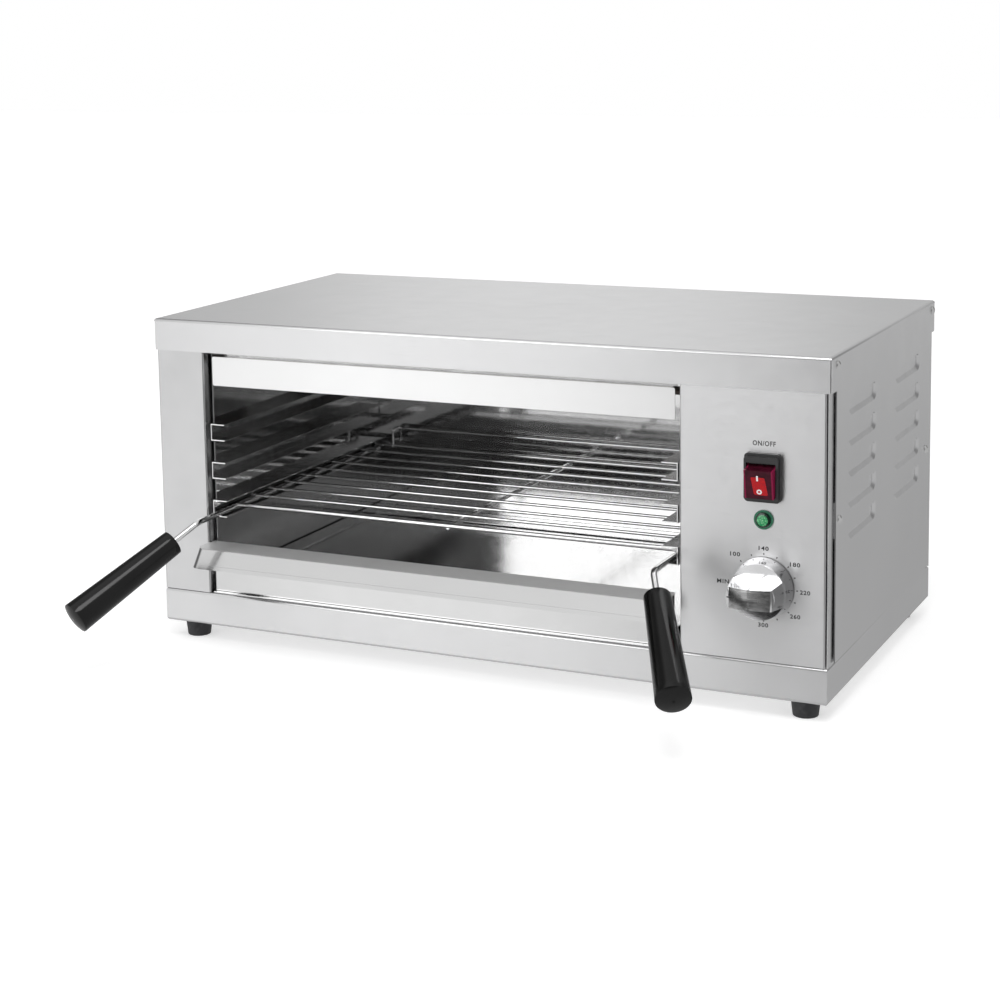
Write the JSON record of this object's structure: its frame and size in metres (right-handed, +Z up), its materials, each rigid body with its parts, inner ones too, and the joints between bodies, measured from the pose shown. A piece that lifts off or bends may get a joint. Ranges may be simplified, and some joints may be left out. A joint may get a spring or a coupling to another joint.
{
  "type": "cheese melter",
  "caption": "Counter-top electric cheese melter with an open front, a sliding wire rack with angled handles, a crumb tray and a control column with switch, lamp and dial.",
  "frame": {"origin": "on the standing surface, under the middle of the bounding box", "axes": "+X to the right seen from the front, +Y towards the back, +Z up; the opening faces -Y"},
  "size_m": [0.6249, 0.4982, 0.29],
  "materials": {
    "base_pan": "fine brushed, bright",
    "cavity_floor": "brushed, satin",
    "cavity_left_wall": "brushed, satin",
    "cavity_right_wall": "brushed, satin",
    "cavity_back_wall": "brushed, satin",
    "cavity_ceiling": "brushed, satin",
    "insulation_blanket": "mineral wool",
    "left_front_post": "fine brushed, bright",
    "right_front_post": "fine brushed, bright",
    "control_panel": "fine brushed, bright",
    "outer_casing": "brushed, satin",
    "rear_panel": "brushed, satin",
    "rear_posts": "brushed, satin",
    "heat_shield": "fine brushed, bright",
    "left_rack_guides": "brushed, satin",
    "right_rack_guides": "brushed, satin",
    "front_heating_element": "dark oxidised sheath",
    "rear_heating_element": "dark oxidised sheath",
    "element_brackets": "plain mill finish",
    "element_terminals": "unglazed",
    "thermostat": "plain mill finish",
    "thermostat_bulb": "copper",
    "capillary": "copper",
    "bulb_clips": "plain mill finish",
    "thermostat_screws": "polished",
    "switch_housing": "black, semi-gloss",
    "switch_blades": "plain",
    "lamp_lens": "clear green",
    "lamp_body": "black",
    "terminal_block": "unglazed",
    "wiring": "silicone insulation",
    "earth_stud": "plain",
    "cable_gland": "black polyamide",
    "gland_nut": "black polyamide",
    "rubber_feet": "matt black",
    "foot_screws": "zinc plated",
    "casing_screws": "polished",
    "rear_screws": "polished",
    "rack_left_rod": "polished",
    "rack_right_rod": "polished",
    "rack_front_rod": "polished",
    "rack_cross_rods": "polished",
    "rack_centre_rod": "polished",
    "rack_backstop_bar": "polished",
    "rack_backstop_posts": "polished",
    "left_grip": "black, glossy",
    "right_grip": "black, glossy",
    "tray_pan": "brushed, satin",
    "tray_front": "fine brushed, bright",
    "knob": "satin chrome",
    "thermostat_shaft": "plain",
    "switch_rocker": "translucent red"
  },
  "bodies": {
    "cabinet": {"base_pan": "base_pan", "cavity_floor": "cavity_floor", "cavity_left_wall": "cavity_left_wall", "cavity_right_wall": "cavity_right_wall", "cavity_back_wall": "cavity_back_wall", "cavity_ceiling": "cavity_ceiling", "insulation_blanket": "insulation_blanket", "left_front_post": "left_front_post", "right_front_post": "right_front_post", "control_panel": "control_panel", "outer_casing": "outer_casing", "rear_panel": "rear_panel", "rear_posts": "rear_posts", "heat_shield": "heat_shield", "left_rack_guides": "left_rack_guides", "right_rack_guides": "right_rack_guides", "front_heating_element": "front_heating_element", "rear_heating_element": "rear_heating_element", "element_brackets": "element_brackets", "element_terminals": "element_terminals", "thermostat": "thermostat", "thermostat_bulb": "thermostat_bulb", "capillary": "capillary", "bulb_clips": "bulb_clips", "thermostat_screws": "thermostat_screws", "switch_housing": "switch_housing", "switch_blades": "switch_blades", "lamp_lens": "lamp_lens", "lamp_body": "lamp_body", "terminal_block": "terminal_block", "wiring": "wiring", "earth_stud": "earth_stud", "cable_gland": "cable_gland", "gland_nut": "gland_nut", "rubber_feet": "rubber_feet", "foot_screws": "foot_screws", "casing_screws": "casing_screws", "rear_screws": "rear_screws"},
    "rack": {"rack_left_rod": "rack_left_rod", "rack_right_rod": "rack_right_rod", "rack_front_rod": "rack_front_rod", "rack_cross_rods": "rack_cross_rods", "rack_centre_rod": "rack_centre_rod", "rack_backstop_bar": "rack_backstop_bar", "rack_backstop_posts": "rack_backstop_posts", "left_grip": "left_grip", "right_grip": "right_grip"},
    "tray": {"tray_pan": "tray_pan", "tray_front": "tray_front"},
    "control_knob": {"knob": "knob", "thermostat_shaft": "thermostat_shaft"},
    "rocker": {"switch_rocker": "switch_rocker"}
  },
  "joints": [
    {"name": "rack_slide", "type": "slide", "parent": "cabinet", "child": "rack", "axis": [0, -1, 0], "range_m": [0, 0.25]},
    {"name": "tray_slide", "type": "slide", "parent": "cabinet", "child": "tray", "axis": [0, -1, 0], "range_m": [0, 0.25]},
    {"name": "knob_turn", "type": "hinge", "parent": "cabinet", "child": "control_knob", "pos_m": [0.2565, -0.12087, 0.105], "axis": [0, 1, 0], "range_deg": [0, 270]},
    {"name": "rocker_tilt", "type": "hinge", "parent": "cabinet", "child": "rocker", "pos_m": [0.2565, -0.10187, 0.1921], "axis": [-1, 0, 0], "range_deg": [0, 20]}
  ]
}
